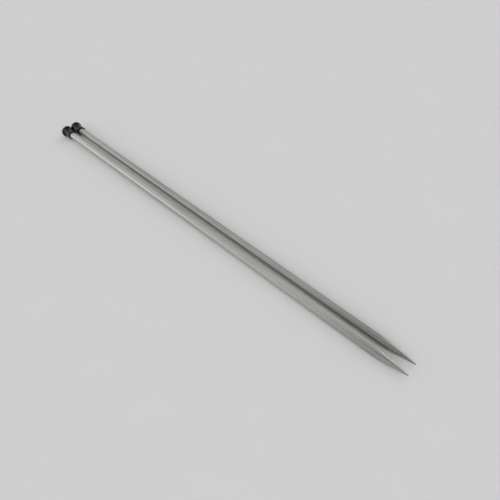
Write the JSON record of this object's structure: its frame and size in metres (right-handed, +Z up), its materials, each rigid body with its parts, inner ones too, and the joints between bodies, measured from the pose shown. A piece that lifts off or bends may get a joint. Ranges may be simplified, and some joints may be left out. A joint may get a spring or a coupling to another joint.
{
  "type": "pair of knitting needles",
  "caption": "Pair of straight single-pointed knitting needles: slim grey coated rods with long tapered points and flared black stop knobs, lying side by side.",
  "frame": {"origin": "on the table, under the middle of the pair's bounding box", "axes": "+X along the needles from the knobs to the points, +Y across the table towards the rear needle, +Z up"},
  "size_m": [0.3524, 0.0178, 0.0087],
  "materials": {
    "grey_coating": "satin",
    "black_plastic": "gloss"
  },
  "bodies": {
    "rear_needle": {"rear_shaft": "grey_coating", "rear_knob": "black_plastic"},
    "front_needle": {"front_shaft": "grey_coating", "front_knob": "black_plastic"}
  },
  "joints": [
    {"name": "front_needle_lift", "type": "slide", "parent": "rear_needle", "child": "front_needle", "axis": [0, 0, 1], "range_m": [0, 0.1]}
  ]
}
